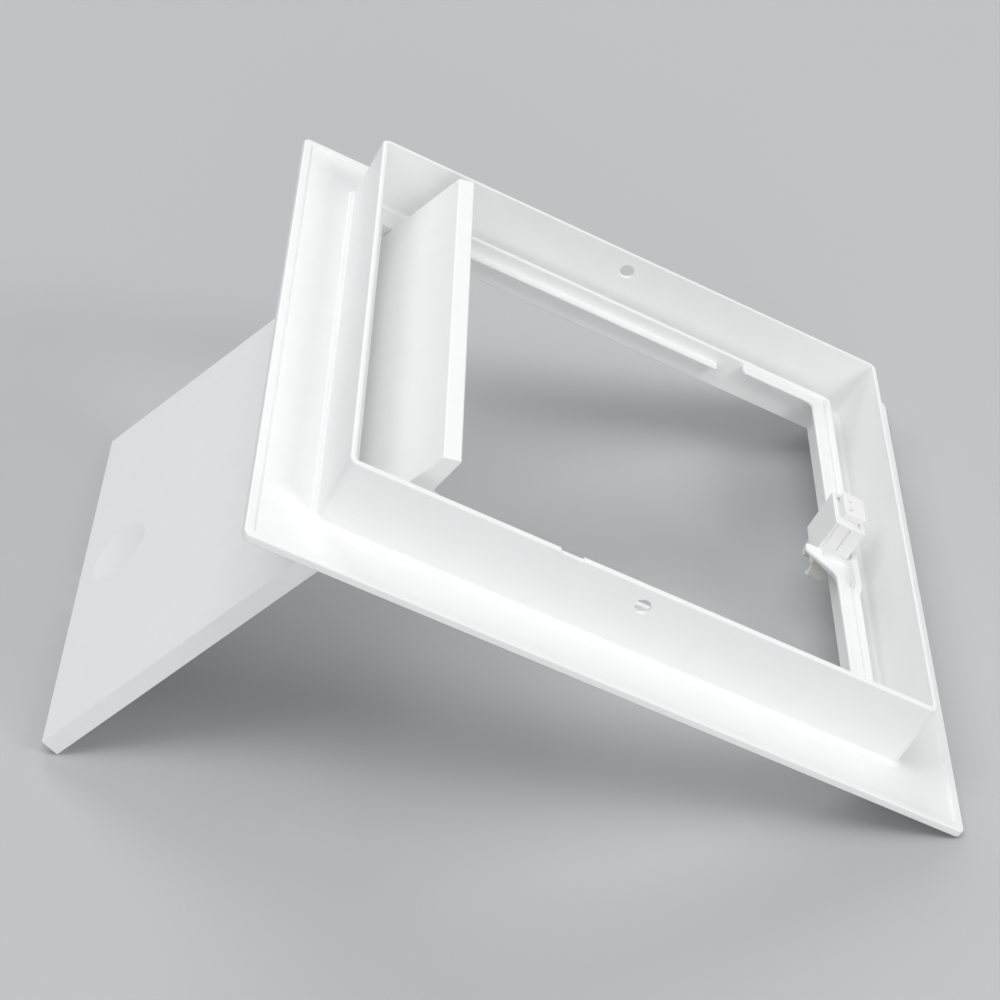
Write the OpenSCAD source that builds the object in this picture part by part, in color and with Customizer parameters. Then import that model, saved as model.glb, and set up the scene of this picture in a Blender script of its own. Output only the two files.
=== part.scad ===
// Square ceiling access panel: a flanged frame with a collar, and a flush door on
// two side pins, held shut by a push latch. The panel stands on a floor with its
// door swung fully open as a prop, so the two form an A.
// Every piece is drawn in panel coordinates: the flange's front edge is z = 0, the
// collar points to +z, the hinge is at -x and the latch at +x. place() then tilts
// the panel onto the floor, and swing() turns the door about its pins.

/* [Frame] */
// Outer width of the square flange
flange_w = 242; // [238:1:250]
// Thickness of the flange plate
flange_t = 2.0; // [1.6:0.1:2.4]
// Height by which the flange's front rises towards the opening
front_h = 2.6; // [1.0:0.1:3]
// Width of the raised rim along the flange's outer edge
rim_w = 3.0; // [2:0.5:5]
// Height of the raised rim above the flange plate
rim_h = 0.8; // [0.4:0.1:1.2]
// Outer width of the square collar
collar_w = 200; // [198:1:206]
// Height of the collar above the flange's front face
collar_h = 26.0; // [25:0.2:40]
// Wall thickness of the collar
collar_wall = 1.8; // [1.6:0.1:2.4]
// Width of the square opening that the door fills
opening_w = 172.8; // [172.6:0.1:173.2]
// Diameter of the two fixing screw holes
screw_d = 5.0; // [3.5:0.1:6]
// Height of the fixing screw holes above the flange's front face
screw_z = 19.0; // [16:0.5:21]

/* [Stop lip] */
// Height of the lip's top above the flange's front face
lip_top = 10.5; // [10.4:0.1:11]
// Thickness of the lip
lip_t = 1.6; // [1.2:0.1:1.7]
// Height of the bead along the back of the lip
bead_top = 11.8; // [11.2:0.1:13]

/* [Door] */
// Width of the door along its hinge
door_w = 171.6; // [170.8:0.1:171.8]
// Distance of the door's hinge end from the panel's middle
hinge_end = 87.2; // [86:0.1:87.4]
// Thickness of the door at its edges
door_t = 7.0; // [6:0.1:7.2]
// Thickness of the door's face
door_skin = 2.2; // [1.8:0.1:2.4]
// Diameter of the push dimple
dimple_d = 25; // [18:1:30]
// Depth of the push dimple
dimple_depth = 1.2; // [0.6:0.1:1.4]
// Opening angle of the door at its stop
open_angle = 112.2; // [90:0.1:112.2]

/* [Hinge] */
// Distance of the hinge pins from the panel's middle
pivot_x = 67.13; // [67:0.01:67.3]
// Height of the hinge pins above the flange's front edge
pivot_z = 10.3; // [10.2:0.1:10.4]
// Diameter of the hinge pins
pin_d = 4.0; // [3:0.1:4.4]

/* [Latch] */
// Distance of the latch from the panel's middle, towards the free edge
latch_x = 80.2; // [80:0.1:80.4]
// Sideways place of the latch
latch_y = -2; // [-4:0.5:4]
// Travel of the latch plunger
stroke = 7.0; // [6.5:0.1:7]
// Angle by which each jaw stands open
jaw_open = 28; // [20:1:30]

/* [Hidden] */
$fn = 48;

white = [0.94, 0.94, 0.93];
cream = [0.90, 0.89, 0.84];
steel = [0.72, 0.73, 0.75];

half = flange_w / 2;
open_h = opening_w / 2;
door_h = door_w / 2;
pocket_t = 1.8;                     // wall of the door pocket
bow = 1.4;                          // outward bow of the pocket wall behind the latch
lip_z = lip_top - lip_t;            // underside of the lip
bevel = [3.3, 4.6];                 // bevel on the front of the door's hinge edge
ear_z = pivot_z + front_h;          // height of the hinge pins above the door's face
hinge_gap = 88.2;                   // hinge side of the opening, from the panel's middle

// Free end of the open door: its back corner and its front corner
function turned(x, z) = [-pivot_x + cos(open_angle) * (x + pivot_x) + sin(open_angle) * (z - pivot_z),
                         pivot_z - sin(open_angle) * (x + pivot_x) + cos(open_angle) * (z - pivot_z)];
free_back = turned(door_h, door_t - front_h);
free_front = turned(door_h, -front_h);
// Tilt at which the flange's edge and the door's free edge both stand on the floor
tilt = atan2(-free_back[1], half - free_back[0]);
lift = half * sin(tilt);
low_x = free_front[0] * cos(tilt) + free_front[1] * sin(tilt);
high_x = half * cos(tilt) + (flange_t + rim_h) * sin(tilt);
shift = -(low_x + high_x) / 2;

// Latch sizes
house_x = 11.2;
house_y = 17.8;
house_z0 = 5.4;
house_z1 = 22.0;
cavity_x = 8.0;
cavity_y = 14.4;
plug_top = 21.2;                    // top of the cap's plug
floor_z = 1.8;                      // underside of the plunger, pushed by the striker
plunger_top = 10.4;
jaw_pivot_y = 4.0;
jaw_pivot_z = 4.3;
jaw_w = 5.2;

module place() translate([shift, 0, lift]) rotate([0, tilt, 0]) children();
module swing() translate([-pivot_x, 0, pivot_z]) rotate([0, open_angle, 0])
    translate([pivot_x, 0, -pivot_z]) children();

// A box from its lowest to its highest corner
module block(a, b) translate(a) cube(b - a);

// A square outline with rounded corners
module rounded(w, r) {
    square([w - 2 * r, w], center = true);
    square([w, w - 2 * r], center = true);
    for (sx = [-1, 1], sy = [-1, 1]) translate([sx * (w / 2 - r), sy * (w / 2 - r)]) circle(r);
}

module ring(w1, r1, w0, r0) difference() { rounded(w1, r1); rounded(w0, r0); }

// A square frustum from half width a at height z0 to half width b at height z1
module frustum(a, z0, b, z1) polyhedron(
    points = [[-a, -a, z0], [a, -a, z0], [a, a, z0], [-a, a, z0], [-b, -b, z1], [b, -b, z1], [b, b, z1], [-b, b, z1]],
    faces = [[0, 1, 2, 3], [7, 6, 5, 4], [0, 4, 5, 1], [1, 5, 6, 2], [2, 6, 7, 3], [3, 7, 4, 0]]);

// The frame is one moulding. It is drawn as a flange, a collar, the walls of the door's
// pocket and three lips, which meet face to face.
module flange() color(white) place() {
    linear_extrude(flange_t) difference() {
        rounded(flange_w, 2.4);
        translate([-hinge_gap, -open_h]) square([hinge_gap + open_h, opening_w]);
    }
    // raised rim along the outer edge, and a low step along the collar's foot
    translate([0, 0, flange_t]) linear_extrude(rim_h) {
        ring(flange_w, 2.4, flange_w - 2 * rim_w, 1.2);
        ring(collar_w + 2, 4, collar_w, 3);
    }
    // front that rises from the outer edge to the opening
    difference() {
        frustum(open_h + 3, -front_h, half - 1.5, 0.2);
        block([-hinge_gap, -open_h, -front_h - 1], [open_h, open_h, 1]);
    }
}

module collar() color(white) place() difference() {
    translate([0, 0, flange_t]) linear_extrude(collar_h - flange_t)
        ring(collar_w, 3, collar_w - 2 * collar_wall, 1.2);
    // fixing screw holes
    for (s = [-1, 1]) translate([0, s * (collar_w / 2 - collar_wall / 2), screw_z])
        rotate([90, 0, 0]) cylinder(d = screw_d, h = collar_wall + 2, center = true);
    // shallow nick in the near wall's back edge
    block([-31, -collar_w / 2 - 1, collar_h - 0.9], [-23.5, -collar_w / 2 + collar_wall + 1, collar_h + 1]);
}

// Inner faces of the pocket wall on the latch side, bowed outwards behind the latch
function latch_side(x) = [[x, latch_y - 28], [x + bow, latch_y - 23], [x + bow, latch_y + 23], [x, latch_y + 28]];

// Boss on the pocket wall in which a hinge pin turns
module hinge_boss(s) {
    mirror([0, s < 0 ? 1 : 0, 0]) {
        block([-pivot_x - 7, open_h, flange_t], [-pivot_x + 7, open_h + 3.6, pivot_z]);
        translate([-pivot_x, open_h, pivot_z]) rotate([-90, 0, 0]) cylinder(r = 6, h = 3.6);
        // two ribs that carry the boss across to the collar
        for (x = [-pivot_x - 7, -pivot_x + 5.4])
            block([x, open_h, flange_t], [x + 1.6, collar_w / 2 - collar_wall, 8]);
    }
}

module pocket_walls() color(white) place() difference() {
    union() {
        x0 = open_h;
        x1 = open_h + pocket_t;
        for (s = [-1, 1]) {
            mirror([0, s < 0 ? 1 : 0, 0]) block([-80, x0, flange_t], [x1, x1, bead_top]);
            hinge_boss(s);
        }
        translate([0, 0, flange_t]) linear_extrude(bead_top - flange_t) polygon(concat(
            [[x0, -x1], [x1, -x1]], latch_side(x1), [[x1, x1], [x0, x1]],
            [for (i = [3 : -1 : 0]) latch_side(x0)[i]]));
    }
    // holes for the hinge pins
    for (s = [-1, 1]) translate([-pivot_x, s * (open_h + 1.8), pivot_z])
        rotate([90, 0, 0]) cylinder(r = pin_d / 2 + 0.06, h = 6, center = true);
}

// Stop lips along the two sides, lower than the lip of the latch side
module side_lip() block([-57, 83, 5.3], [43.5, open_h, 6.7]);

module lip_far() color(white) place() side_lip();
module lip_near() color(white) place() mirror([0, 1, 0]) side_lip();

// Lip of the latch side with its two short returns, widened into two prongs that carry
// the latch housing
module lip_latch() color(white) place() difference() {
    translate([0, 0, lip_z]) linear_extrude(lip_t) polygon(concat(
        [[52, -open_h], [open_h, -open_h]], latch_side(open_h), [[open_h, open_h], [52, open_h],
        [52, 82.4], [80.7, 82.4], [80.7, latch_y + 17.6], [76.4, latch_y + 12.6], [76.4, latch_y],
        [69.8, latch_y], [69.8, latch_y - 13], [80.7, latch_y - 19.5], [80.7, -82.4], [52, -82.4]]));
    // seat for the latch housing
    block([60, latch_y - house_y / 2, house_z0 - 2], [latch_x + house_x / 2, latch_y + house_y / 2, 30]);
    // hollow between the near prong and the wall
    translate([0, 0, lip_top - 0.8]) linear_extrude(2) polygon([
        [79.6, latch_y - 9.8], [86.6, latch_y - 9.8], [86.6, latch_y - 19.5], [85.4, latch_y - 24], [83.2, latch_y - 20]]);
}

// Ear behind the door that holds a hinge pin
module hinge_ear(s) {
    mirror([0, s < 0 ? 1 : 0, 0]) {
        block([-pivot_x - 5, 81.6, door_skin - 0.4], [-pivot_x + 5, 85.2, ear_z]);
        translate([-pivot_x, 81.6, ear_z]) rotate([-90, 0, 0]) cylinder(r = 5, h = 3.6);
    }
}

// The door, drawn with its face at z = 0 and then brought forward to the flange's front
module door_panel() color(white) place() swing() translate([0, 0, -front_h]) difference() {
    union() {
        difference() {
            // slab whose hinge edge is bevelled in front and thinner at the back
            rotate([90, 0, 0]) linear_extrude(door_w, center = true) polygon([
                [-hinge_end + bevel[0], 0], [door_h, 0], [door_h, door_t],
                [-pivot_x - 7, door_t], [-hinge_end, bevel[1] + 0.3], [-hinge_end, bevel[1]]]);
            // hollow of the tray
            block([-hinge_end + 3.8, -door_h + 2, door_skin], [door_h - 2, door_h - 2, door_t + 1]);
            // gap in the free edge's wall for the latch housing
            block([door_h - 3, latch_y - 10.6, door_skin], [door_h + 1, latch_y + 10.6, door_t + 1]);
            // push dimple
            translate([door_h - 19.3, 0, -((dimple_d / 2) * (dimple_d / 2) - dimple_depth * dimple_depth) / (2 * dimple_depth)])
                sphere(r = ((dimple_d / 2) * (dimple_d / 2) + dimple_depth * dimple_depth) / (2 * dimple_depth), $fn = 96);
        }
        // stiffening ribs
        for (y = [-56, -28, 28, 56]) block([-hinge_end + 3.3, y - 0.7, door_skin - 0.4], [door_h - 1.5, y + 0.7, 4.8]);
        for (x = [-42, -14, 14, 42]) block([x - 0.7, -door_h + 1.5, door_skin - 0.4], [x + 0.7, door_h - 1.5, 4.8]);
        for (s = [-1, 1]) hinge_ear(s);
    }
    for (s = [-1, 1]) translate([-pivot_x, s * 83.4, ear_z])
        rotate([90, 0, 0]) cylinder(r = pin_d / 2 + 0.03, h = 6, center = true);
}

module hinge_pins() color(steel) place() swing()
    for (s = [-1, 1]) mirror([0, s < 0 ? 1 : 0, 0]) translate([-pivot_x, 0, pivot_z]) rotate([-90, 0, 0]) {
        translate([0, 0, 80.2]) cylinder(r = 3.3, h = 1.35);
        translate([0, 0, 81.5]) cylinder(d = pin_d, h = 7.6);
        translate([0, 0, 89.1]) cylinder(r1 = pin_d / 2, r2 = pin_d / 2 - 0.5, h = 0.5);
    }

module striker() color(cream) place() swing() {
    foot = door_skin - front_h;
    block([66, latch_y - 4, foot], [latch_x - 3, latch_y + 4, foot + 1.1]);
    block([latch_x - 3.2, latch_y - 0.9, foot], [latch_x + 2, latch_y + 0.9, 5.8]);
    block([latch_x - 2.4, latch_y - 2.6, 5.7], [latch_x + 2.4, latch_y + 2.6, 7.1]);
}

module latch_housing() color(white) place() translate([latch_x, latch_y, 0]) difference() {
    block([-house_x / 2, -house_y / 2, house_z0], [house_x / 2, house_y / 2, house_z1]);
    block([-cavity_x / 2, -cavity_y / 2, house_z0 - 1], [cavity_x / 2, cavity_y / 2, house_z1 + 1]);
    // grooves along the two ends
    for (s = [-1, 1]) block([-0.7, s * house_y / 2 - 0.5, lip_top + 1.5], [0.7, s * house_y / 2 + 0.5, house_z1 - 0.8]);
}

module latch_cap() color(white) place() translate([latch_x, latch_y, 0]) difference() {
    union() {
        // plug, sunk a little below the housing's rim
        block([-cavity_x / 2, -cavity_y / 2, 20.4], [cavity_x / 2, cavity_y / 2, plug_top]);
        block([-2.3, -3.6, plug_top - 0.2], [3.9, 6.6, 24.4]);
    }
    for (y = [-1.9, 2.9]) translate([-0.9, y, 22.8]) cylinder(r = 0.75, h = 4, $fn = 32);
    translate([-3.1, 0, 20]) cylinder(r = 0.37, h = 2, $fn = 32);
}

module latch_follower() color(steel) place() translate([latch_x - 3.1, latch_y, 0]) {
    translate([0, 0, 10.1]) cylinder(r = 0.35, h = plug_top - 10.1, $fn = 32);
    translate([0, 0, 10.1]) sphere(r = 0.35, $fn = 32);
}

module latch_plunger() color(cream) place() translate([latch_x, latch_y, 0]) difference() {
    block([-3.6, -6.6, floor_z], [3.6, 6.6, plunger_top]);
    for (s = [-1, 1]) {
        // slot in which a jaw swings
        mirror([0, s < 0 ? 1 : 0, 0]) block([-2.8, 2.3, floor_z - 1], [2.8, 7, jaw_pivot_z + 2.2]);
        translate([0, s * jaw_pivot_y, jaw_pivot_z]) rotate([0, 90, 0]) cylinder(r = 0.73, h = 10, center = true, $fn = 32);
    }
    // slot for the follower wire
    block([-4, -1.2, 2.6], [-2.6, 1.2, plunger_top + 1]);
}

module jaw_pins() color(steel) place() translate([latch_x, latch_y, 0])
    for (s = [-1, 1]) translate([0, s * jaw_pivot_y, jaw_pivot_z])
        rotate([0, 90, 0]) cylinder(r = 0.7, h = 7, center = true, $fn = 32);

// A jaw, closed, on the +y side, with its pin hole at the origin of its turn
module jaw() difference() {
    rotate([90, 0, 90]) linear_extrude(jaw_w, center = true) {
        translate([-0.8, -7.4]) square([1.6, 7.4]);
        translate([-2.7, -7.4]) square([3.5, 1.5]);
        circle(1.5);
    }
    rotate([0, 90, 0]) cylinder(r = 0.76, h = 10, center = true, $fn = 32);
}

module latch_jaw_far() color(cream) place() translate([latch_x, latch_y + jaw_pivot_y, jaw_pivot_z])
    rotate([jaw_open, 0, 0]) jaw();

module latch_jaw_near() color(cream) place() translate([latch_x, latch_y - jaw_pivot_y, jaw_pivot_z])
    rotate([-jaw_open, 0, 0]) mirror([0, 1, 0]) jaw();

// Coil spring: rings of points along a helix
spring_r = 2.2;
spring_wire = 0.28;
spring_turns = 6;
spring_steps = 14;
spring_sides = 6;
spring_n = spring_turns * spring_steps;
spring_z0 = plunger_top + 0.32;
spring_z1 = 20.4 - 0.32;
function coil(i) = let (a = 360 * i / spring_steps, k = i / spring_n)
    [spring_r * cos(a), spring_r * sin(a), spring_z0 + (spring_z1 - spring_z0) * k];
function coil_ring(i) = let (a = 360 * i / spring_steps, c = coil(i))
    [for (j = [0 : spring_sides - 1]) let (b = 360 * j / spring_sides)
        c + spring_wire * [cos(b) * cos(a), cos(b) * sin(a), sin(b)]];

module latch_spring() color(steel) place() translate([latch_x, latch_y, 0]) polyhedron(
    points = [for (i = [0 : spring_n]) each coil_ring(i)],
    faces = concat(
        [[for (j = [0 : spring_sides - 1]) j]],
        [for (i = [0 : spring_n - 1], j = [0 : spring_sides - 1]) let (
            a = i * spring_sides + j, b = i * spring_sides + (j + 1) % spring_sides)
            [a, a + spring_sides, b + spring_sides, b]],
        [[for (j = [spring_sides - 1 : -1 : 0]) spring_n * spring_sides + j]]));

flange();
collar();
pocket_walls();
lip_near();
lip_far();
lip_latch();
door_panel();
hinge_pins();
striker();
latch_housing();
latch_cap();
latch_follower();
latch_plunger();
latch_spring();
jaw_pins();
latch_jaw_near();
latch_jaw_far();
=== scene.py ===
import math

import bmesh
import bpy
from mathutils import Matrix, Vector


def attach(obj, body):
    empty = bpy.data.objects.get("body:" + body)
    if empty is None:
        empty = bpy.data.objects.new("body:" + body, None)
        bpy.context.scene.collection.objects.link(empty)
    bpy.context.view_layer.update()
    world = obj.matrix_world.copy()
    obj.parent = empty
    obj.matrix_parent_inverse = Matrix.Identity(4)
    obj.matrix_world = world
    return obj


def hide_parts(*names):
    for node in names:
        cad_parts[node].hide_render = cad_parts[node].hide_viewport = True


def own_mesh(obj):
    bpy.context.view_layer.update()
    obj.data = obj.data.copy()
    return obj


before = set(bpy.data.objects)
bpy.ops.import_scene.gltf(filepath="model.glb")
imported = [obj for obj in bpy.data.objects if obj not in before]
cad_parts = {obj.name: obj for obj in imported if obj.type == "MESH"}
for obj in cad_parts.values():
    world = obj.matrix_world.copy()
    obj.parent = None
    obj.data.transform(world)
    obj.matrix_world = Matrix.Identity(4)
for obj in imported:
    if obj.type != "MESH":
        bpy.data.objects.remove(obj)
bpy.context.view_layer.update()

scene = bpy.context.scene

# ---------------------------------------------------------------- sizes (mm)
FLANGE = 121.0          # half width of the flange
FRONT = 2.6             # rise of its front towards the opening
COLLAR = 100.0          # half width of the collar
WALL = 1.8
COLLAR_H = 26.0
OPEN = 86.4             # half width of the opening
POCKET, BOW = 1.8, 1.4  # wall of the door pocket and its bow behind the latch
LIP0, LIP1 = 8.9, 10.5  # stop lip, underside and top
BEAD = 11.8             # top of the bead behind the lip
DOOR = 85.8             # half width of the door
HINGE_END = 87.2        # distance of its hinge end from the panel's middle
DOOR_T, SKIN = 7.0, 2.2
PIVOT_X, PIVOT_Z = 67.13, 10.3
EAR_Z = PIVOT_Z + FRONT  # height of the hinge pins above the door's face
HINGE_GAP = 88.2        # hinge side of the opening
OPEN_ANGLE = math.radians(112.2)
LX, LY = 80.2, -2.0     # middle of the latch

# ---------------------------------------------------------------- placing
c, s = math.cos(OPEN_ANGLE), math.sin(OPEN_ANGLE)


def turned(x, z):
    return (-PIVOT_X + c * (x + PIVOT_X) + s * (z - PIVOT_Z),
            PIVOT_Z - s * (x + PIVOT_X) + c * (z - PIVOT_Z))


free_back, free_front = turned(DOOR, DOOR_T - FRONT), turned(DOOR, -FRONT)
TILT = math.atan2(-free_back[1], FLANGE - free_back[0])
LIFT = FLANGE * math.sin(TILT)
low_x = free_front[0] * math.cos(TILT) + free_front[1] * math.sin(TILT)
high_x = FLANGE * math.cos(TILT) + 2.8 * math.sin(TILT)
SHIFT = -(low_x + high_x) / 2

MM = Matrix.Scale(0.001, 4)
PANEL = MM @ Matrix.Translation((SHIFT, 0, LIFT)) @ Matrix.Rotation(TILT, 4, "Y")
HINGE = Matrix.Translation((-PIVOT_X, 0, PIVOT_Z))
SWUNG = PANEL @ HINGE @ Matrix.Rotation(OPEN_ANGLE, 4, "Y") @ HINGE.inverted()
# the door is drawn with its face at z = 0 and brought forward to the flange's front
DOORWAY = SWUNG @ Matrix.Translation((0, 0, -FRONT))
# maps a shape drawn in x, z and extruded along y
XZ = Matrix(((1, 0, 0, 0), (0, 0, 1, 0), (0, 1, 0, 0), (0, 0, 0, 1)))
# maps a shape drawn in y, z and extruded along x
YZ = Matrix(((0, 0, 1, 0), (1, 0, 0, 0), (0, 1, 0, 0), (0, 0, 0, 1)))
MIRROR_Y = Matrix.Scale(-1, 4, (0, 1, 0))


# ---------------------------------------------------------------- mesh tools
def rounded(points, closed=True, steps=6):
    """Outline with an arc at each corner: points are (x, y) or (x, y, radius)."""
    out, n = [], len(points)
    for i, q in enumerate(points):
        p = Vector(q[:2])
        r = q[2] if len(q) > 2 else 0.0
        if r <= 0 or (not closed and i in (0, n - 1)):
            out.append((p.x, p.y))
            continue
        a, b = Vector(points[i - 1][:2]), Vector(points[(i + 1) % n][:2])
        u, v = (a - p).normalized(), (b - p).normalized()
        angle = math.acos(max(-1.0, min(1.0, u.dot(v))))
        if angle > math.pi - 1e-3:
            out.append((p.x, p.y))
            continue
        d = min(r / math.tan(angle / 2), 0.495 * (a - p).length, 0.495 * (b - p).length)
        r = d * math.tan(angle / 2)
        m = p + (u + v).normalized() * (r / math.sin(angle / 2))
        e0, e1 = p + u * d - m, p + v * d - m
        t0 = math.atan2(e0.y, e0.x)
        dt = (math.atan2(e1.y, e1.x) - t0 + math.pi) % (2 * math.pi) - math.pi
        for k in range(steps + 1):
            t = t0 + dt * k / steps
            out.append((m.x + r * math.cos(t), m.y + r * math.sin(t)))
    return out


def arc(cx, cy, r, a0, a1, steps):
    return [(cx + r * math.cos(math.radians(a0 + (a1 - a0) * k / steps)),
             cy + r * math.sin(math.radians(a0 + (a1 - a0) * k / steps))) for k in range(steps + 1)]


def make(name, verts, faces, matrix=None):
    mesh = bpy.data.meshes.new(name)
    mesh.from_pydata([tuple(v) for v in verts], [], faces)
    bm = bmesh.new()
    bm.from_mesh(mesh)
    bmesh.ops.remove_doubles(bm, verts=bm.verts, dist=1e-5)
    bmesh.ops.dissolve_degenerate(bm, edges=bm.edges, dist=1e-6)
    if matrix is not None:
        bmesh.ops.transform(bm, matrix=matrix, verts=bm.verts)
    bmesh.ops.recalc_face_normals(bm, faces=bm.faces)
    bm.to_mesh(mesh)
    bm.free()
    obj = bpy.data.objects.new(name, mesh)
    scene.collection.objects.link(obj)
    return obj


def loft(name, rings, closed_ends=True, around=False, matrix=None):
    """Skin over rings of equal length; around joins the last ring to the first."""
    m, n = len(rings[0]), len(rings)
    verts = [p for ring in rings for p in ring]
    faces = []
    for i in range(n if around else n - 1):
        k = (i + 1) % n
        for j in range(m):
            faces.append((i * m + j, i * m + (j + 1) % m, k * m + (j + 1) % m, k * m + j))
    if closed_ends and not around:
        faces.append(tuple(range(m)))
        faces.append(tuple(range((n - 1) * m, n * m)))
    return make(name, verts, faces, matrix)


def square_sweep(name, profile, corner, steps=8):
    """Closed profile of (half width, z) carried round a square with rounded corners."""
    rings = []
    for d, z in profile:
        r = corner(d, z)
        ring = []
        for k, (sx, sy) in enumerate(((1, 1), (-1, 1), (-1, -1), (1, -1))):
            for j in range(steps + 1):
                a = math.radians(90 * k + 90 * j / steps)
                ring.append((sx * (d - r) + r * math.cos(a), sy * (d - r) + r * math.sin(a), z))
        rings.append(ring)
    return loft(name, rings, around=True)


def path_sweep(name, path, section):
    """Section of (offset to the right, z) carried along an open path in the plane."""
    rings = []
    for i, p in enumerate(path):
        p = Vector(p)
        a = (p - Vector(path[i - 1])).normalized() if i else None
        b = (Vector(path[i + 1]) - p).normalized() if i + 1 < len(path) else None
        a, b = a or b, b or a
        na, nb = Vector((a.y, -a.x)), Vector((b.y, -b.x))
        m = (na + nb).normalized()
        m = m / max(0.3, m.dot(na))
        rings.append([(p.x + o * m.x, p.y + o * m.y, z) for o, z in section])
    return loft(name, rings)


def inset(outline, d):
    """Outline moved inwards by d (anticlockwise outline)."""
    out, n = [], len(outline)
    for i in range(n):
        p = Vector(outline[i])
        a = (p - Vector(outline[i - 1])).normalized()
        b = (Vector(outline[(i + 1) % n]) - p).normalized()
        na, nb = Vector((-a.y, a.x)), Vector((-b.y, b.x))
        m = (na + nb)
        m = m.normalized() if m.length > 1e-9 else na
        m = m / max(0.3, m.dot(na))
        out.append((p.x + d * m.x, p.y + d * m.y))
    return out


def prism(name, outline, z0, z1, e0=0.0, e1=0.0, matrix=None, steps=4):
    """Extruded outline whose lower and upper edges are rounded by e0 and e1."""
    area = sum(outline[i - 1][0] * outline[i][1] - outline[i][0] * outline[i - 1][1] for i in range(len(outline)))
    if area < 0:
        outline = outline[::-1]
    rings = []
    if e0 > 0:
        for k in range(steps + 1):
            t = math.pi / 2 * k / steps
            rings.append((e0 * (1 - math.sin(t)), z0 + e0 * (1 - math.cos(t))))
    else:
        rings.append((0.0, z0))
    if e1 > 0:
        for k in range(steps + 1):
            t = math.pi / 2 * k / steps
            rings.append((e1 * (1 - math.cos(t)), z1 - e1 * (1 - math.sin(t))))
    else:
        rings.append((0.0, z1))
    return loft(name, [[(x, y, z) for x, y in (inset(outline, d) if d > 1e-9 else outline)] for d, z in rings], matrix=matrix)


def slab(name, a, b, r=0.3, e0=None, e1=None, matrix=None, steps=3):
    """Box from corner to corner with rounded edges."""
    e0 = r if e0 is None else e0
    e1 = r if e1 is None else e1
    q = max(r, e0, e1) * 1.06
    outline = rounded([(a[0], a[1], q), (b[0], a[1], q), (b[0], b[1], q), (a[0], b[1], q)], steps=steps)
    return prism(name, outline, a[2], b[2], e0, e1, matrix, steps)


def lathe(name, profile, matrix=None, n=48):
    """Profile of (radius, height) turned about z; the ends meet the axis."""
    rings = [[(max(r, 1e-4) * math.cos(2 * math.pi * k / n), max(r, 1e-4) * math.sin(2 * math.pi * k / n), z) for k in range(n)]
             for r, z in profile]
    return loft(name, rings, matrix=matrix)


def solid(base, add=(), cut=()):
    """Joins the shapes in add to base and takes those in cut away from it."""
    for op, tools in (("UNION", add), ("DIFFERENCE", cut)):
        for tool in tools:
            mod = base.modifiers.new("join", "BOOLEAN")
            mod.operation, mod.solver, mod.object = op, "EXACT", tool
    bpy.context.view_layer.update()
    mesh = bpy.data.meshes.new_from_object(base.evaluated_get(bpy.context.evaluated_depsgraph_get()))
    base.modifiers.clear()
    old = base.data
    base.data = mesh
    bpy.data.meshes.remove(old)
    for tool in (*add, *cut):
        mesh = tool.data
        bpy.data.objects.remove(tool)
        bpy.data.meshes.remove(mesh)
    return base


def finish_piece(obj, material, matrix, body, node, angle=32.0):
    """Cleans the mesh, shades it, puts it in place and has it stand for its node or nodes."""
    bm = bmesh.new()
    bm.from_mesh(obj.data)
    bmesh.ops.remove_doubles(bm, verts=bm.verts, dist=2e-4)
    bmesh.ops.dissolve_degenerate(bm, edges=bm.edges, dist=2e-4)
    bmesh.ops.transform(bm, matrix=matrix, verts=bm.verts)
    bmesh.ops.recalc_face_normals(bm, faces=bm.faces)
    bm.to_mesh(obj.data)
    bm.free()
    obj.data.shade_smooth()
    obj.data.set_sharp_from_angle(angle=math.radians(angle))
    obj.data.materials.clear()
    obj.data.materials.append(material)
    mod = obj.modifiers.new("normals", "WEIGHTED_NORMAL")
    mod.keep_sharp, mod.weight, mod.mode = True, 100, "FACE_AREA"
    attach(obj, body)
    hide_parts(*((node,) if isinstance(node, str) else node))
    return obj


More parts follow.
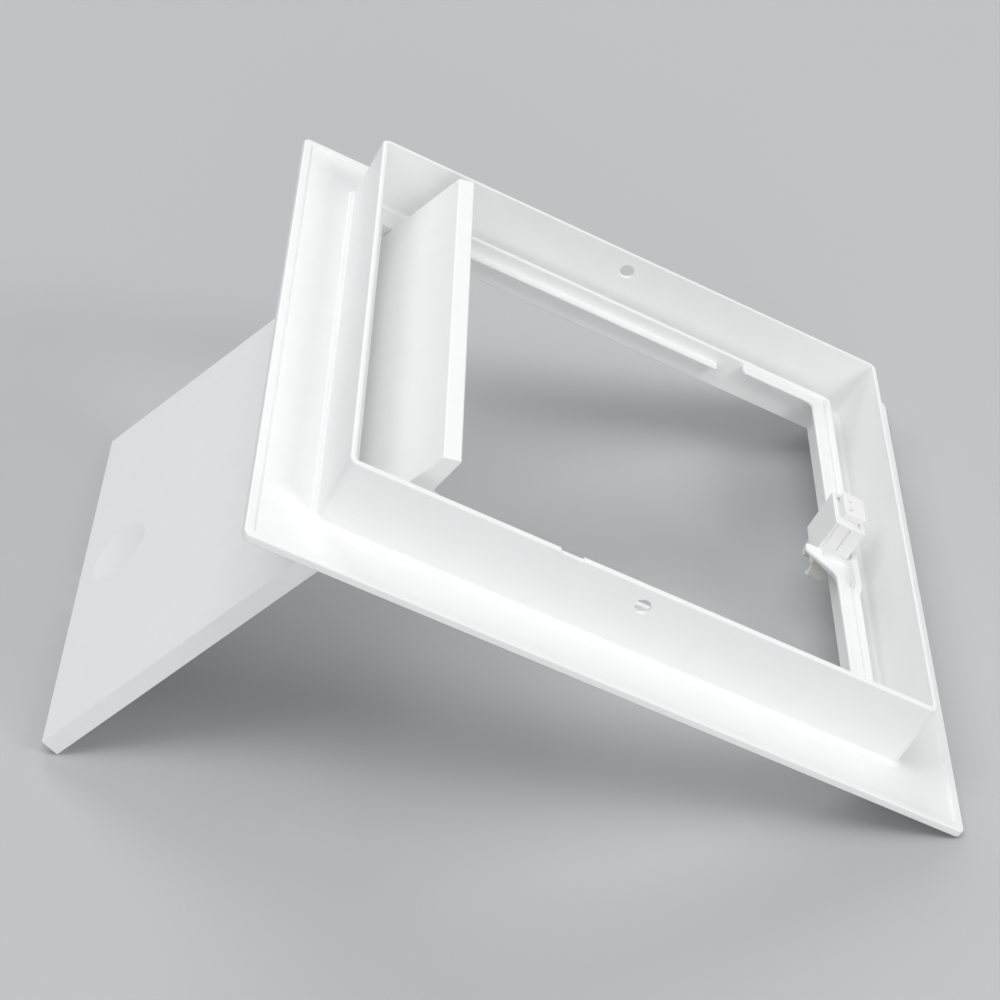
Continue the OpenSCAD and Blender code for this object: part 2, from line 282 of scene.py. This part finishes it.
# ---------------------------------------------------------------- materials
def plastic(name, light, dark, rough, grain=0.16, wave=0.10, coat=0.0):
    """Moulded plastic: a fine spark-eroded grain, faint flow marks and uneven gloss."""
    mat = bpy.data.materials.new(name)
    mat.use_nodes = True
    nt = mat.node_tree
    b = nt.nodes["Principled BSDF"]
    b.inputs["IOR"].default_value = 1.52
    b.inputs["Specular IOR Level"].default_value = 0.42
    if coat:
        b.inputs["Coat Weight"].default_value = coat
        b.inputs["Coat Roughness"].default_value = 0.3
    where = nt.nodes.new("ShaderNodeTexCoord")

    def noise(scale, detail, rough_, stretch=None):
        n = nt.nodes.new("ShaderNodeTexNoise")
        n.inputs["Scale"].default_value = scale
        n.inputs["Detail"].default_value = detail
        n.inputs["Roughness"].default_value = rough_
        if stretch:
            m = nt.nodes.new("ShaderNodeMapping")
            m.inputs["Scale"].default_value = stretch
            nt.links.new(where.outputs["Object"], m.inputs["Vector"])
            nt.links.new(m.outputs["Vector"], n.inputs["Vector"])
        else:
            nt.links.new(where.outputs["Object"], n.inputs["Vector"])
        return n

    flow = noise(26, 3, 0.5, (1.0, 0.35, 1.0))
    cloud = noise(90, 4, 0.55)
    fine = noise(2600, 2, 0.5)
    ramp = nt.nodes.new("ShaderNodeValToRGB")
    ramp.color_ramp.elements[0].position, ramp.color_ramp.elements[0].color = 0.32, (*dark, 1)
    ramp.color_ramp.elements[1].position, ramp.color_ramp.elements[1].color = 0.68, (*light, 1)
    nt.links.new(cloud.outputs["Fac"], ramp.inputs["Fac"])
    nt.links.new(ramp.outputs["Color"], b.inputs["Base Color"])
    gloss = nt.nodes.new("ShaderNodeMapRange")
    gloss.inputs["From Min"].default_value, gloss.inputs["From Max"].default_value = 0.3, 0.7
    gloss.inputs["To Min"].default_value, gloss.inputs["To Max"].default_value = rough - 0.05, rough + 0.06
    nt.links.new(flow.outputs["Fac"], gloss.inputs["Value"])
    nt.links.new(gloss.outputs["Result"], b.inputs["Roughness"])
    grain_bump = nt.nodes.new("ShaderNodeBump")
    grain_bump.inputs["Strength"].default_value = grain
    grain_bump.inputs["Distance"].default_value = 0.00006
    nt.links.new(fine.outputs["Fac"], grain_bump.inputs["Height"])
    wave_bump = nt.nodes.new("ShaderNodeBump")
    wave_bump.inputs["Strength"].default_value = wave
    wave_bump.inputs["Distance"].default_value = 0.0004
    nt.links.new(flow.outputs["Fac"], wave_bump.inputs["Height"])
    nt.links.new(grain_bump.outputs["Normal"], wave_bump.inputs["Normal"])
    nt.links.new(wave_bump.outputs["Normal"], b.inputs["Normal"])
    return mat


def metal(name, light, dark, rough):
    """Drawn steel: fine lines along its length and a slightly uneven polish."""
    mat = bpy.data.materials.new(name)
    mat.use_nodes = True
    nt = mat.node_tree
    b = nt.nodes["Principled BSDF"]
    b.inputs["Metallic"].default_value = 1.0
    where = nt.nodes.new("ShaderNodeTexCoord")
    stretch = nt.nodes.new("ShaderNodeMapping")
    stretch.inputs["Scale"].default_value = (1.0, 0.08, 1.0)
    lines = nt.nodes.new("ShaderNodeTexNoise")
    lines.inputs["Scale"].default_value = 4200
    lines.inputs["Detail"].default_value = 3
    nt.links.new(where.outputs["Object"], stretch.inputs["Vector"])
    nt.links.new(stretch.outputs["Vector"], lines.inputs["Vector"])
    ramp = nt.nodes.new("ShaderNodeValToRGB")
    ramp.color_ramp.elements[0].position, ramp.color_ramp.elements[0].color = 0.3, (*dark, 1)
    ramp.color_ramp.elements[1].position, ramp.color_ramp.elements[1].color = 0.7, (*light, 1)
    nt.links.new(lines.outputs["Fac"], ramp.inputs["Fac"])
    nt.links.new(ramp.outputs["Color"], b.inputs["Base Color"])
    polish = nt.nodes.new("ShaderNodeMapRange")
    polish.inputs["To Min"].default_value, polish.inputs["To Max"].default_value = rough - 0.06, rough + 0.08
    nt.links.new(lines.outputs["Fac"], polish.inputs["Value"])
    nt.links.new(polish.outputs["Result"], b.inputs["Roughness"])
    bump = nt.nodes.new("ShaderNodeBump")
    bump.inputs["Strength"].default_value = 0.15
    bump.inputs["Distance"].default_value = 0.00003
    nt.links.new(lines.outputs["Fac"], bump.inputs["Height"])
    nt.links.new(bump.outputs["Normal"], b.inputs["Normal"])
    return mat


white_abs = plastic("white_abs", (0.93, 0.931, 0.927), (0.916, 0.917, 0.913), 0.42)
latch_white = plastic("latch_white", (0.915, 0.914, 0.904), (0.9, 0.899, 0.889), 0.40, grain=0.12)
nylon = plastic("latch_nylon", (0.80, 0.79, 0.735), (0.77, 0.76, 0.70), 0.46, grain=0.2)
steel = metal("steel", (0.66, 0.67, 0.68), (0.52, 0.53, 0.54), 0.26)

# ---------------------------------------------------------------- frame
profile = rounded([
    (OPEN, -FRONT, 0.5), (OPEN + 3, -FRONT, 3), (FLANGE - 3.65, 0, 6), (FLANGE, 0, 0.55), (FLANGE, 2.8, 0.55), (FLANGE - 2.7, 2.8, 0.6), (FLANGE - 3.5, 2.0, 0.9),
    (COLLAR + 1.5, 2.0, 1.2), (COLLAR + 0.95, 2.75, 0.3), (COLLAR, 2.85, 0.35), (COLLAR, COLLAR_H, 0.85), (COLLAR - WALL, COLLAR_H, 0.3),
    (COLLAR - WALL, 2.0, 1.2), (OPEN, 2.0, 0.3)], steps=6)


def frame_corner(d, z):
    if d > 112:
        return max(1.2, 2.4 - (FLANGE - d) * 0.4)
    if d >= COLLAR - WALL + 0.5:
        return 3.0 + (d - COLLAR)
    if d > 92:
        return 1.2 + max(0.0, COLLAR - WALL - d) * 0.7
    return 0.7


body = square_sweep("frame_moulding", profile, frame_corner)

# walls of the door pocket on three sides, bowed outwards behind the latch
path = rounded([
    (-80, -OPEN), (OPEN, -OPEN, 1.4), (OPEN, LY - 28.2, 8), (OPEN + BOW, LY - 22.9, 8),
    (OPEN + BOW, LY + 22.9, 8), (OPEN, LY + 28.2, 8), (OPEN, OPEN, 1.4), (-80, OPEN)], closed=False, steps=8)
section = rounded([(0.03, 0.8), (3.2, 0.8), (3.2, 1.98), (POCKET, 1.98, 0.65), (POCKET, BEAD, 0.86), (0.03, BEAD, 0.86)], steps=5)
add = [path_sweep("pocket", path, section)]

# stop lips along the two sides, with round noses, lower than the lip of the latch side
for flip in (Matrix.Identity(4), MIRROR_Y):
    outline = rounded([(83.0, 5.3, 0.5), (OPEN + 0.9, 5.3), (OPEN + 0.9, 6.7), (83.0, 6.7, 0.75)], steps=6)
    add.append(prism("lip", outline, -57, 43.5, 0.5, 0.5, flip @ YZ, steps=4))

# lip of the latch side, its short side returns and the two prongs of the latch seat
x1, x2, yw = OPEN + 0.9, OPEN + BOW + 0.9, OPEN + 0.9
outline = rounded([
    (52, -yw), (x1, -yw), (x1, LY - 27.2, 6), (x2, LY - 22.6, 6), (x2, LY + 22.6, 6), (x1, LY + 27.2, 6),
    (x1, yw), (52, yw), (52, 82.4, 2.0), (80.7, 82.4, 2.4), (80.7, LY + 17.6, 3), (76.4, LY + 12.6, 0.9),
    (76.4, LY + 8.95, 0.6), (85.85, LY + 8.95), (85.85, LY - 8.95), (69.8, LY - 8.95, 0.9), (69.8, LY - 13, 0.9),
    (80.7, LY - 19.5, 5), (80.7, -82.4, 2.4), (52, -82.4, 2.0)], steps=7)
add.append(prism("latch_lip", outline, LIP0 + 0.004, LIP1 + 0.004, 0.7, 0.74, steps=5))
# floor of the hollow by the near prong, and the bead's foot on the lip
outline = rounded([(74.9, LY - 8.98), (87.5, LY - 8.98), (87.5, LY - 20.8, 4), (86.2, LY - 26.0, 0.8), (84.2, LY - 25.2, 0.8),
                   (82.1, LY - 20.7, 3), (80.5, LY - 17.9, 4), (74.4, LY - 12.9, 0.8)], steps=5)
add.append(prism("pan", outline, LIP1 - 3.1, LIP1 - 0.9, 0.3, 0.0))
path = rounded([(OPEN, -OPEN + 1.2), (OPEN, LY - 28.2, 8), (OPEN + BOW, LY - 22.9, 8), (OPEN + BOW, LY + 22.9, 8),
                (OPEN, LY + 28.2, 8), (OPEN, OPEN - 1.2)], closed=False, steps=7)
add.append(path_sweep("bead_foot", path, rounded([(-0.95, LIP1 - 0.45), (0.9, LIP1 - 0.45), (0.9, BEAD - 0.07), (-0.95, BEAD - 0.07, 0.7)], steps=5)))

# bosses of the hinge pins and the ribs that carry them
for flip in (Matrix.Identity(4), MIRROR_Y):
    x0, x1 = -PIVOT_X - 7, -PIVOT_X + 7
    outline = [(x0, 0.9), (x1, 0.9), (x1, PIVOT_Z - 1)] + arc(-PIVOT_X, PIVOT_Z, 6, 0, 180, 24) + [(x0, PIVOT_Z - 1)]
    add.append(prism("boss", outline, OPEN + 0.02, OPEN + 3.6, 0.0, 0.5, flip @ XZ, steps=4))
    for x in (x0, x1 - 1.6):
        outline = rounded([(x, OPEN + 0.6), (x + 1.6, OPEN + 0.6), (x + 1.6, 98.7), (x, 98.7)])
        add.append(prism("rib", outline, 0.9, 8.0, 0.0, 0.35, flip))

# fixing screw holes with softened rims, pin holes and the nick in the near wall
cut = []
for sy in (-1, 1):
    y = sy * (COLLAR - WALL / 2)
    hole = [(0, -4), (3.3, -4), (3.3, -WALL / 2 - 0.02), (2.82, -WALL / 2), (2.58, -WALL / 2 + 0.16), (2.5, -WALL / 2 + 0.42),
            (2.5, WALL / 2 - 0.42), (2.58, WALL / 2 - 0.16), (2.82, WALL / 2), (3.3, WALL / 2 + 0.02), (3.3, 4), (0, 4)]
    cut.append(lathe("screw_hole", hole, Matrix.Translation((0, y, 19)) @ Matrix.Rotation(math.pi / 2, 4, "X"), 56))
    y = sy * (OPEN + 1.8)
    hole = [(0, -4), (2.06, -4), (2.06, 4), (0, 4)]
    cut.append(lathe("pin_hole", hole, Matrix.Translation((-PIVOT_X, y, PIVOT_Z)) @ Matrix.Rotation(math.pi / 2, 4, "X"), 40))
outline = rounded([(-31.4, COLLAR_H + 2), (-31, COLLAR_H - 0.9, 0.5), (-23.5, COLLAR_H - 0.9, 0.5), (-23.1, COLLAR_H + 2)])
cut.append(prism("nick", outline, -COLLAR - 1, -COLLAR + WALL + 1, matrix=XZ))
# hollow between the near prong and the wall, and the hinge side of the opening
outline = rounded([(75.8, LY - 9.4, 0.4), (86.65, LY - 9.4, 0.4), (86.65, LY - 20.3, 4), (85.6, LY - 25.0, 0.6), (84.7, LY - 24.4, 0.6),
                   (82.9, LY - 20.4, 3), (81.2, LY - 17.2, 4), (75.4, LY - 12.4, 0.8)], steps=6)
cut.append(prism("hollow", outline, LIP1 - 2.2, LIP1 + 2, 0.4, 0.0))
outline = [(-HINGE_GAP, -OPEN - 0.02), (-85, -OPEN - 0.02), (-85, OPEN + 0.02), (-HINGE_GAP, OPEN + 0.02)]
cut.append(prism("hinge_side", outline, -FRONT - 2, 4))
solid(body, add, cut)
finish_piece(body, white_abs, PANEL, "frame", ("flange", "collar", "pocket_walls", "lip_near", "lip_far", "lip_latch"))

# ---------------------------------------------------------------- door
outline = rounded([(-HINGE_END + 3.3, 0, 0.7), (DOOR, 0, 0.5), (DOOR, DOOR_T, 0.45), (-PIVOT_X - 7, DOOR_T, 3), (-HINGE_END, 4.75, 0.5)], steps=8)
door = prism("door_moulding", outline, -DOOR, DOOR, 0.3, 0.3, XZ, steps=4)
tray = rounded([(-HINGE_END + 3.8, -DOOR + 2, 1.6), (DOOR - 2, -DOOR + 2, 1.6), (DOOR - 2, DOOR - 2, 1.6), (-HINGE_END + 3.8, DOOR - 2, 1.6)], steps=6)
cut = [prism("tray", tray, SKIN, DOOR_T + 2, 0.7, 0.0, steps=5)]
cut.append(slab("gap", (DOOR - 2.6, LY - 10.6, SKIN + 0.01), (DOOR + 2, LY + 10.6, DOOR_T + 2), 0.5))
bowl = [(k, 1.3 - 0.00842 * k * k) for k in range(13)] + [(12.43, 0.0), (12.75, -0.06), (13.3, -0.3), (14.0, -1.5), (0, -1.5)]
cut.append(lathe("dimple", bowl, Matrix.Translation((DOOR - 19.3, 0, 0)), 96))
solid(door, (), cut)
add = []
for y in (-56.0, -28.0, 28.0, 56.0):
    add.append(prism("rib", rounded([(y - 0.8, SKIN - 0.5), (y + 0.8, SKIN - 0.5), (y + 0.6, 4.8, 0.45), (y - 0.6, 4.8, 0.45)]),
                     -HINGE_END + 3.3, DOOR - 1.5, matrix=YZ))
for x in (-42.0, -14.0, 14.0, 42.0):
    add.append(prism("rib", rounded([(x - 0.8, SKIN - 0.5), (x + 0.8, SKIN - 0.5), (x + 0.6, 4.78, 0.45), (x - 0.6, 4.78, 0.45)]),
                     -DOOR + 1.5, DOOR - 1.5, matrix=XZ))
cut = []
for flip in (Matrix.Identity(4), MIRROR_Y):
    x0, x1 = -PIVOT_X - 5, -PIVOT_X + 5
    outline = [(x0, 1.8), (x1, 1.8), (x1, EAR_Z - 1)] + arc(-PIVOT_X, EAR_Z, 5, 0, 180, 24) + [(x0, EAR_Z - 1)]
    add.append(prism("ear", outline, 81.6, 85.2, 0.45, 0.45, flip @ XZ, steps=4))
    hole = [(0, -4), (2.03, -4), (2.03, 4), (0, 4)]
    cut.append(lathe("pin_hole", hole, flip @ Matrix.Translation((-PIVOT_X, 83.4, EAR_Z)) @ Matrix.Rotation(math.pi / 2, 4, "X"), 40))
solid(door, add, cut)
finish_piece(door, white_abs, DOORWAY, "door", "door_panel")

# hinge pins with domed heads and chamfered ends
pins = None
for flip in (Matrix.Identity(4), MIRROR_Y):
    shape = [(0, 80.2), (2.2, 80.24), (2.95, 80.45), (3.25, 80.8), (3.3, 81.1), (3.3, 81.55), (2.0, 81.56), (2.0, 89.0), (1.9, 89.3), (1.5, 89.6), (0, 89.6)]
    one = lathe("hinge_pin_pair", shape, flip @ Matrix.Translation((-PIVOT_X, 0, PIVOT_Z)) @ Matrix.Rotation(-math.pi / 2, 4, "X"), 48)
    if pins is None:
        pins = one
    else:
        bm = bmesh.new()
        bm.from_mesh(pins.data)
        bm.from_mesh(one.data)
        bm.to_mesh(pins.data)
        bm.free()
        bpy.data.objects.remove(one)
finish_piece(pins, steel, SWUNG, "door", "hinge_pins", 40)

# striker: foot, post and head
foot = SKIN - FRONT + 0.02
striker = slab("latch_striker", (66, LY - 4, foot), (LX - 3, LY + 4, foot + 1.08), 0.3)
solid(striker, [slab("post", (LX - 3.2, LY - 0.9, foot), (LX + 2, LY + 0.9, 5.9), 0.2),
                slab("head", (LX - 2.4, LY - 2.6, 5.7), (LX + 2.4, LY + 2.6, 7.1), 0.35),
                prism("web", rounded([(67.5, foot + 0.5), (LX - 2.8, foot + 0.5), (LX - 2.8, 4.6), (LX - 3.4, 4.6, 0.6)]),
                      LY - 0.7, LY + 0.7, 0.0, 0.0, XZ)])
finish_piece(striker, nylon, SWUNG, "door", "striker", 40)

# ---------------------------------------------------------------- latch
HERE = Matrix.Translation((LX, LY, 0))
housing = slab("latch_case", (-5.6, -8.9, 5.4), (5.6, 8.9, 22.0), 0.5, 0.3, 0.35, steps=4)
cut = [slab("bay", (-4.0, -7.2, 4.0), (4.0, 7.2, 24.0), 0.35)]
for sy in (-1, 1):
    cut.append(slab("groove", (-0.75, sy * 8.9 - 0.5, 11.6), (0.55, sy * 8.9 + 0.5, 21.1), 0.18))
    cut.append(slab("line", (-4.75, sy * 8.9 - 0.2, 11.2), (-4.35, sy * 8.9 + 0.3, 21.6), 0.1))
solid(housing, (), cut)
finish_piece(housing, latch_white, PANEL @ HERE, "frame", "latch_housing", 36)

cap = slab("latch_cap_plug", (-3.98, -7.18, 20.4), (3.98, 7.18, 21.2), 0.3, 0.0, 0.15)
holes = [lathe("hole", [(0, 22.9), (0.7, 22.95), (0.7, 24.2), (0.88, 24.42), (0.88, 26), (0, 26)], Matrix.Translation((-0.4, y, 0)), 28)
         for y in (-1.5, 3.3)]
solid(cap, [slab("block", (-2.6, -4.0, 21.0), (3.95, 7.1, 23.0), 0.3, 0.0, 0.3, steps=4),
            slab("button", (-2.9, -4.3, 22.04), (5.2, 7.9, 24.4), 0.9, 0.12, 0.5, steps=5)], holes)
finish_piece(cap, latch_white, PANEL @ HERE, "frame", "latch_cap", 36)

follower = lathe("latch_track_wire", [(0, 9.75), (0.2, 9.8), (0.33, 9.98), (0.35, 10.1), (0.35, 21.0), (0.3, 21.15), (0, 21.18)],
                 Matrix.Translation((-3.1, 0, 0)), 24)
finish_piece(follower, steel, PANEL @ HERE, "frame", "latch_follower", 40)

plunger = slab("latch_slider", (-3.6, -6.6, 1.8), (3.6, 6.6, 10.4), 0.3)
cut = [slab("track", (-4.6, -1.2, 2.6), (-2.6, 1.2, 12.0), 0.12)]
for sy in (-1, 1):
    y0, y1 = sorted((sy * 2.3, sy * 8.0))
    cut.append(slab("jaw_slot", (-2.8, y0, 0.4), (2.8, y1, 6.5), 0.15))
    cut.append(lathe("pin_hole", [(0, -6), (0.73, -6), (0.73, 6), (0, 6)],
                     Matrix.Translation((0, sy * 4.0, 4.3)) @ Matrix.Rotation(math.pi / 2, 4, "Y"), 28))
solid(plunger, (), cut)
finish_piece(plunger, nylon, PANEL @ HERE, "plunger", "latch_plunger", 40)

jaw_pins = None
for sy in (-1, 1):
    shape = [(0, -3.5), (0.55, -3.5), (0.7, -3.35), (0.7, 3.35), (0.55, 3.5), (0, 3.5)]
    one = lathe("jaw_pin_pair", shape, Matrix.Translation((0, sy * 4.0, 4.3)) @ Matrix.Rotation(math.pi / 2, 4, "Y"), 28)
    if jaw_pins is None:
        jaw_pins = one
    else:
        bm = bmesh.new()
        bm.from_mesh(jaw_pins.data)
        bm.from_mesh(one.data)
        bm.to_mesh(jaw_pins.data)
        bm.free()
        bpy.data.objects.remove(one)
finish_piece(jaw_pins, steel, PANEL @ HERE, "plunger", "jaw_pins", 40)

# the two jaws: an eye, an arm and an inward hook, drawn closed and turned open
for sy, name, node in ((-1, "claw_near", "latch_jaw_near"), (1, "claw_far", "latch_jaw_far")):
    outline = ([(0.8, -1.2)] + arc(0, 0, 1.5, -50, 230, 26) + [(-0.8, -1.2)]
               + rounded([(-0.8, -1.4), (-0.8, -5.9, 0.3), (-2.7, -5.9, 0.25), (-2.7, -7.4, 0.5), (0.8, -7.4, 0.5), (0.8, -1.4)], closed=False, steps=4))
    jaw = prism(name, outline, -2.6, 2.6, 0.16, 0.16, YZ, steps=3)
    solid(jaw, (), [lathe("eye", [(0, -5), (0.76, -5), (0.76, 5), (0, 5)], Matrix.Rotation(math.pi / 2, 4, "Y"), 28)])
    turn = Matrix.Rotation(math.radians(28), 4, "X")
    if sy < 0:
        turn = MIRROR_Y @ turn
    finish_piece(jaw, nylon, PANEL @ HERE @ Matrix.Translation((0, sy * 4.0, 4.3)) @ turn,
                 "jaw_near" if sy < 0 else "jaw_far", node, 38)

# coil spring between the plunger and the cap, with closed end turns
turns, per, sides, wire, rad = 7.0, 28, 10, 0.28, 2.2
z0, z1 = 10.4 + wire, 20.4 - wire
rings = []
count = int(turns * per)
for i in range(count + 1):
    k = i / count
    a = 2 * math.pi * turns * k
    u = min(1.0, max(0.0, (k * turns - 0.8) / (turns - 1.6)))
    z = z0 + 0.18 * min(k * turns, 0.8) + (z1 - z0 - 0.288) * u + 0.18 * max(0.0, k * turns - turns + 0.8)
    rings.append([((rad + wire * math.cos(b)) * math.cos(a), (rad + wire * math.cos(b)) * math.sin(a), z + wire * math.sin(b))
                  for b in [2 * math.pi * j / sides for j in range(sides)]])
spring = loft("latch_coil", rings)
finish_piece(spring, steel, PANEL @ HERE, "plunger", "latch_spring", 60)
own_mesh(spring)

# ---------------------------------------------------------------- floor
bpy.ops.mesh.primitive_plane_add(size=24, location=(0, 0, -0.0002))
floor = bpy.context.object
floor.name = "floor"
mat = bpy.data.materials.new("floor")
mat.use_nodes = True
nt = mat.node_tree
b = nt.nodes["Principled BSDF"]
b.inputs["Roughness"].default_value = 0.85
b.inputs["Specular IOR Level"].default_value = 0.2
where = nt.nodes.new("ShaderNodeTexCoord")
n = nt.nodes.new("ShaderNodeTexNoise")
n.inputs["Scale"].default_value = 1.6
ramp = nt.nodes.new("ShaderNodeValToRGB")
ramp.color_ramp.elements[0].color = (0.50, 0.51, 0.515, 1)
ramp.color_ramp.elements[1].color = (0.54, 0.55, 0.555, 1)
nt.links.new(where.outputs["Object"], n.inputs["Vector"])
nt.links.new(n.outputs["Fac"], ramp.inputs["Fac"])
nt.links.new(ramp.outputs["Color"], b.inputs["Base Color"])
floor.data.materials.append(mat)

# ---------------------------------------------------------------- light
world = bpy.data.worlds.new("studio")
scene.world = world
world.use_nodes = True
nt = world.node_tree
sky = nt.nodes["Background"]
sky.inputs["Color"].default_value = (0.975, 0.988, 1.0, 1)
where = nt.nodes.new("ShaderNodeTexCoord")
split = nt.nodes.new("ShaderNodeSeparateXYZ")
rise = nt.nodes.new("ShaderNodeMapRange")
rise.inputs["From Min"].default_value, rise.inputs["From Max"].default_value = -0.1, 1.0
rise.inputs["To Min"].default_value, rise.inputs["To Max"].default_value = 0.34, 0.40
nt.links.new(where.outputs["Generated"], split.inputs["Vector"])
nt.links.new(split.outputs["Z"], rise.inputs["Value"])
nt.links.new(rise.outputs["Result"], sky.inputs["Strength"])


def softbox(name, place, aim, size, power, colour=(1, 1, 1)):
    data = bpy.data.lights.new(name, "AREA")
    data.shape, data.size, data.size_y = "RECTANGLE", size[0], size[1]
    data.energy, data.color = power, colour
    lamp = bpy.data.objects.new(name, data)
    scene.collection.objects.link(lamp)
    lamp.location = place
    lamp.rotation_mode = "QUATERNION"
    lamp.rotation_quaternion = (Vector(aim) - Vector(place)).to_track_quat("-Z", "Y")
    return lamp


softbox("key", (2.53, -1.38, 1.89), (0.03, 0.0, 0.05), (1.0, 1.0), 27.2, (1.0, 0.992, 0.98))
softbox("front", (0.6, -3.6, 0.94), (0.0, 0.0, 0.06), (2.0, 1.2), 26.4, (0.98, 0.99, 1.0))
softbox("top", (0.54, -0.7, 3.34), (0.0, 0.0, 0.06), (1.4, 1.4), 15.2, (0.99, 0.995, 1.0))
softbox("side", (-1.2, -0.5, 3.14), (0.0, 0.0, 0.06), (2.0, 2.0), 28.0, (0.98, 0.99, 1.0))
softbox("back", (-0.4, 3.0, 2.34), (0.0, 0.0, 0.06), (2.0, 1.6), 41.6, (0.99, 0.995, 1.0))

# ---------------------------------------------------------------- camera
# Pose of the view in panel coordinates: rows are right, down and forward
VIEW = ((0.888556, 0.014182, 0.458549), (0.383206, -0.572486, -0.724854), (0.252233, 0.819792, -0.51412))
AWAY = (35.281, -11.592, 909.891)
rows = [Vector(r) for r in VIEW]
centre = -(rows[0] * AWAY[0] + rows[1] * AWAY[1] + rows[2] * AWAY[2])
spin = PANEL.to_3x3().normalized()
right, upward, back = spin @ rows[0], -(spin @ rows[1]), -(spin @ rows[2])
back.normalize()
right = (right - back * right.dot(back)).normalized()
upward = back.cross(right)
camera = bpy.data.objects.new("camera", bpy.data.cameras.new("camera"))
scene.collection.objects.link(camera)
camera.data.sensor_width = 36.0
camera.data.lens = 36.0 * 2743.68 / 1000
camera.data.clip_start, camera.data.clip_end = 0.01, 100
m = Matrix((right, upward, back)).transposed().to_4x4()
m.translation = PANEL @ centre
camera.matrix_world = m
scene.camera = camera
scene.view_settings.view_transform = "Standard"
